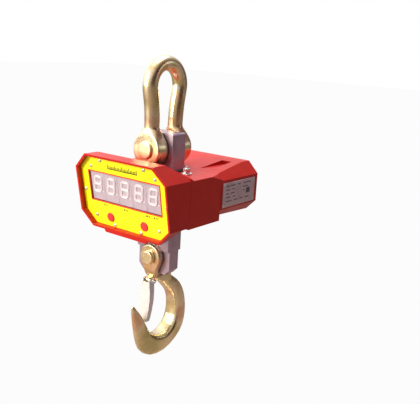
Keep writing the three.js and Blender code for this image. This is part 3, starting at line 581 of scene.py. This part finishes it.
def plate_rivets():
    """A low round head in each corner."""
    inset = 3
    front = PLATE["back"] + PLATE["t"]
    dome = [(1.7, 0), (1.7, 0.12), (1.2, 0.32), (0.4, 0.4)]
    (y0, y1), (z0, z1) = PLATE["y"], PLATE["z"]
    corners = [(y, z) for y in (y0 + inset, y1 - inset) for z in (z0 + inset, z1 - inset)]
    heads = [turned("rivet", dome, along_x(front, y, z), sides=20) for y, z in corners]
    return join("data_plate_rivets", heads)


dress(data_plate(), brushed, "scale", ["nameplate"])
dress(plate_marks(), etched, "scale")
dress(plate_rivets(), zinc, "scale")

# ---------------------------------------------------------------- display face

frame_ring = round_edges(copy_node("window_frame", "window_border"), 0.35, shortest=3)
dress(frame_ring, border, "scale", ["window_frame"])


def segment_bar(width, height, u, v):
    """One bar with its corners cut."""
    bar = block("bar", (width, height, 0.5), (u, v, 0), Matrix.Identity(4))
    edit(bar, "DESELECT")
    bpy.ops.object.mode_set(mode="OBJECT")
    points = bar.data.vertices
    for line in bar.data.edges:
        a, b = (points[i].co for i in line.vertices)
        line.select = abs(a.z - b.z) > 0.1 * MM
    bpy.ops.object.mode_set(mode="EDIT")
    bpy.ops.mesh.select_mode(type="EDGE")
    bpy.ops.mesh.bevel(offset=1.3 * MM, segments=1, affect="EDGES")
    bpy.ops.object.mode_set(mode="OBJECT")
    return bar


def segments():
    """Seven bars and a point, slanted as on all such digits."""
    half_w, half_h, bar, gap = 7.2, 12.8, 3.6, 1.0
    pieces = [segment_bar(2 * half_w - gap, bar, 0, v) for v in (-half_h, 0, half_h)]
    for u in (-half_w, half_w):
        for v in (-half_h / 2, half_h / 2):
            pieces.append(segment_bar(bar, half_h - gap, u, v))
    point_place = Matrix.Translation((12.0 * MM, -half_h * MM, 0))
    pieces.append(turned("point", [(1.5, -0.25), (1.5, 0.25)], point_place, 20))
    whole = join("digit_segments", pieces)
    slant = math.tan(math.radians(9))
    for point in whole.data.vertices:
        point.co.x += slant * point.co.y
    return whole


pattern = segments()
for number in range(DIGITS):
    node = f"digit_{number + 1}"
    u = (number - (DIGITS - 1) / 2) * DIGIT_PITCH
    module = round_edges(copy_node(node, f"{node}_module"), 0.4, shortest=3)
    dress(module, digit_grey, "scale", [node])
    lit = copy(pattern, f"{node}_segments")
    place(lit, on_face(u, 4, -2.15))
    dress(lit, segment_white, "scale")
bpy.data.objects.remove(pattern)


def panel_marks():
    """Plain graduations over the window and small plain symbols under it."""
    ink_t = 0.12
    w = ink_t / 2

    def mark(width, height, u, v):
        return block("mark", (width, height, ink_t), (u, v, w), FACE)

    base_v, pitch, ticks = 35, 3.15, 21
    pieces = [mark(64.6, 1.5, 0, base_v)]
    for step in range(ticks):
        height = 7.6 if step % 5 == 0 else 5.0
        pieces.append(mark(1.6, height, (step - (ticks - 1) / 2) * pitch, base_v + height / 2))
    for u in (-46, -0.5, 48, 63.5):
        pieces.append(mark(3.2, 2.6, u - 2.6, -31))
        pieces.append(mark(4.0, 0.9, u + 2.4, -30.1))
        pieces.append(mark(4.0, 0.9, u + 2.4, -31.9))
    return join("panel_print", pieces)


dress(panel_marks(), ink, "scale")

BUTTON_PROFILE = [(7.8, -2.8), (7.8, 0.9), (7.2, 1.6), (6.2, 1.85), (3.0, 2.0)]
for side, u in (("left", -BUTTON_U), ("right", BUTTON_U)):
    node = f"{side}_button"
    cap = turned(f"{side}_button_cap", BUTTON_PROFILE, on_face(u, BUTTON_V, 0), rounding=0.25)
    dress(cap, button_red, node, [node])


def cross_screw(name, radius, height, length):
    """A pan-head screw with a cross recess, standing on its own Z."""
    profile = [
        (1.5, -length), (1.5, 0.0), (radius, 0.02), (radius, height * 0.35),
        (radius * 0.9, height * 0.65), (radius * 0.7, height * 0.86), (radius * 0.35, height * 0.98),
    ]
    screw = turned(name, profile, Matrix.Identity(4), sides=32)
    for size in ((radius * 1.25, 0.75, height), (0.75, radius * 1.25, height)):
        cutter = block("cutter", size, (0, 0, height * 0.95), Matrix.Identity(4))
        modify(screw, "BOOLEAN", operation="DIFFERENCE", object=cutter, solver="EXACT")
        bpy.data.objects.remove(cutter)
    smooth(screw)
    return screw


# Each screw stopped at its own angle.
panel_screw = cross_screw("panel_screw", 3.0, 1.9, 4)
for number in range(PANEL_SCREWS):
    node = f"panel_screw_{number + 1}"
    low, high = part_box(node)
    centre = FACE.inverted() @ ((low + high) / 2) / MM
    made = copy(panel_screw, f"{node}_cross")
    place(made, on_face(centre.x, centre.y, 0.3) @ Matrix.Rotation(0.7 * number, 4, "Z"))
    dress(made, zinc, "scale", [node])
bpy.data.objects.remove(panel_screw)

cover_screw_head = 1.6
cover_screw = cross_screw("cover_screw", 3.4, cover_screw_head, 8)
for number in range(COVER_SCREWS):
    node = f"rear_cover_screw_{number + 1}"
    low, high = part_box(node)
    made = copy(cover_screw, f"{node}_cross")
    centre = (low + high) / 2
    seat = Matrix.Translation((centre.x, high.y - cover_screw_head * MM, centre.z))
    place(made, seat @ Matrix.Rotation(-math.pi / 2, 4, "X") @ Matrix.Rotation(0.5 * number, 4, "Z"))
    dress(made, zinc, "scale", [node])
bpy.data.objects.remove(cover_screw)

# ---------------------------------------------------------------- antenna and socket

for node in ("antenna_washer", "antenna_nut"):
    made = round_edges(copy_node(node, node + "_rounded"), 0.4, shortest=1.5, bend=40)
    dress(made, zinc, "scale", [node])


def antenna():
    """A threaded bushing with a short pin on top."""
    crest, root, pitch = 3.6, 3.25, 0.9
    shoulder, top = 10.6, 13.4
    profile = [(3.4, -8), (crest, -7.4)]
    height = -7.0
    while height < shoulder - pitch + 0.1:
        profile += [(crest, height), (root, height + pitch / 2)]
        height += pitch
    profile += [(3.3, shoulder - 0.3), (3.0, shoulder), (1.8, shoulder), (1.8, top - 0.5), (1.3, top)]
    low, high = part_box("antenna_stub")
    stands_at = ((low.x + high.x) / 2, (low.y + high.y) / 2, (HOUSING_TOP + DISPLAY_Z) * MM)
    return turned("antenna_bushing", profile, Matrix.Translation(stands_at), sides=32)


dress(antenna(), zinc, "scale", ["antenna_stub"])
socket = round_edges(copy_node("charge_socket", "charge_socket_rounded"), 0.3, shortest=0.5, bend=50)
dress(socket, black, "scale", ["charge_socket"])

# ---------------------------------------------------------------- nodes that keep their own shape

KEPT = {
    overlay: ["face_panel"],
    window_clear: ["display_window"],
    nickel: ["gauge_cover_front", "gauge_cover_rear"],
    zinc: [
        "cell_bracket_front", "cell_bracket_rear",
        "bracket_bolt_front", "bracket_bolt_rear", "battery_strap",
    ],
    neoprene: ["top_gasket", "bottom_gasket"],
    black: ["left_button_switch", "right_button_switch"],
    board_green: ["display_board", "main_board"],
    battery_case: ["battery"],
}
for material, kept_nodes in KEPT.items():
    for node in kept_nodes:
        nodes[node].data.materials.clear()
        nodes[node].data.materials.append(material)

# ---------------------------------------------------------------- camera, light and floor

camera_data = bpy.data.cameras.new("camera")
camera_data.lens = 54.5
camera_data.sensor_width = 36
camera_data.clip_start = 0.01
camera = bpy.data.objects.new("camera", camera_data)
bpy.context.scene.collection.objects.link(camera)
camera_place = (0.690, -0.804, 0.0458)  # in front and to the right, level with the shackle
right = Vector((0.7983, 0.5994, 0.0582)).normalized()
up = Vector((-0.1897, 0.1586, 0.9690))
up = (up - right * up.dot(right)).normalized()
camera_turn = Matrix((right, up, right.cross(up))).transposed().to_4x4()
camera.matrix_world = Matrix.Translation(camera_place) @ camera_turn
bpy.context.scene.camera = camera


def soft_light(name, location, target, size, power, colour="#ffffff"):
    data = bpy.data.lights.new(name, "AREA")
    data.size = size
    data.energy = power
    data.color = linear(colour)[:3]
    lamp = bpy.data.objects.new(name, data)
    bpy.context.scene.collection.objects.link(lamp)
    lamp.location = location
    lamp.rotation_mode = "QUATERNION"
    lamp.rotation_quaternion = (Vector(target) - Vector(location)).to_track_quat("-Z", "Y")


soft_light("key", (-0.75, -1.45, 0.35), (0, 0, -0.25), 0.8, 40, "#fff0d8")
soft_light("top", (-0.2, 0.3, 1.3), (0, 0, -0.2), 1.0, 22)
soft_light("rim", (1.3, 1.2, 0.3), (0, 0, -0.2), 0.5, 1.2)

# The studio is bright on the key light's side and falls off to a dim, warm far side.
world = bpy.data.worlds.new("studio")
world.use_nodes = True
tree = world.node_tree
tree.nodes.clear()
seen = add(tree, "ShaderNodeBackground", {"Color": WHITE, "Strength": 1.0})
direction = add(tree, "ShaderNodeTexCoord").outputs["Generated"]
key_side = Vector((-0.75, -0.35, 0.56))
towards_key = add(tree, "ShaderNodeVectorMath", {0: direction, 1: key_side}, operation="DOT_PRODUCT")
share = add(tree, "ShaderNodeMapRange", {
    "Value": towards_key.outputs["Value"], "From Min": -0.5, "From Max": 0.9,
})
tint = add(tree, "ShaderNodeValToRGB", {"Fac": share.outputs["Result"]})
set_ramp(tint, [(0.0, "#8a3a2c"), (0.3, "#e8d8d2"), (0.5, "#f4f2f4")])
dimmest, brightest = 0.14, 1.5
strength = add(
    tree, "ShaderNodeMath",
    {0: share.outputs["Result"], 1: brightest - dimmest, 2: dimmest},
    operation="MULTIPLY_ADD",
)
fill = add(tree, "ShaderNodeBackground", {
    "Color": tint.outputs["Color"], "Strength": strength.outputs["Value"],
})
rays = add(tree, "ShaderNodeLightPath")
both = add(tree, "ShaderNodeMixShader", {
    0: rays.outputs["Is Camera Ray"], 1: fill.outputs["Background"], 2: seen.outputs["Background"],
})
add(tree, "ShaderNodeOutputWorld", {"Surface": both.outputs["Shader"]})
bpy.context.scene.world = world

clear()
# The floor looks white to the camera and bounces a dim, warm light on the undersides.
floor_drop = 0.25
bpy.ops.mesh.primitive_plane_add(size=30, location=(0, 0, cad_low.z - floor_drop))
floor = bpy.context.object
floor.name = "studio_floor"
place(floor, Matrix.Identity(4))
floor_paint = finish(
    "pale_matt_floor",
    [(0.3, "#8c7a72"), (0.7, "#94827a")],
    patch=400, rough=(0.75, 0.85), grain=30, depth=0.1,
)
tree = floor_paint.node_tree
paint = next(node for node in tree.nodes if node.type == "BSDF_PRINCIPLED")
output = next(node for node in tree.nodes if node.type == "OUTPUT_MATERIAL")
bright = add(tree, "ShaderNodeEmission", {"Color": linear("#fcfcfc"), "Strength": 1.0})
rays = add(tree, "ShaderNodeLightPath")
both = add(tree, "ShaderNodeMixShader", {
    0: rays.outputs["Is Camera Ray"], 1: paint.outputs["BSDF"], 2: bright.outputs["Emission"],
})
tree.links.new(both.outputs["Shader"], output.inputs["Surface"])
floor.data.materials.append(floor_paint)
floor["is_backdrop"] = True

low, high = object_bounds()
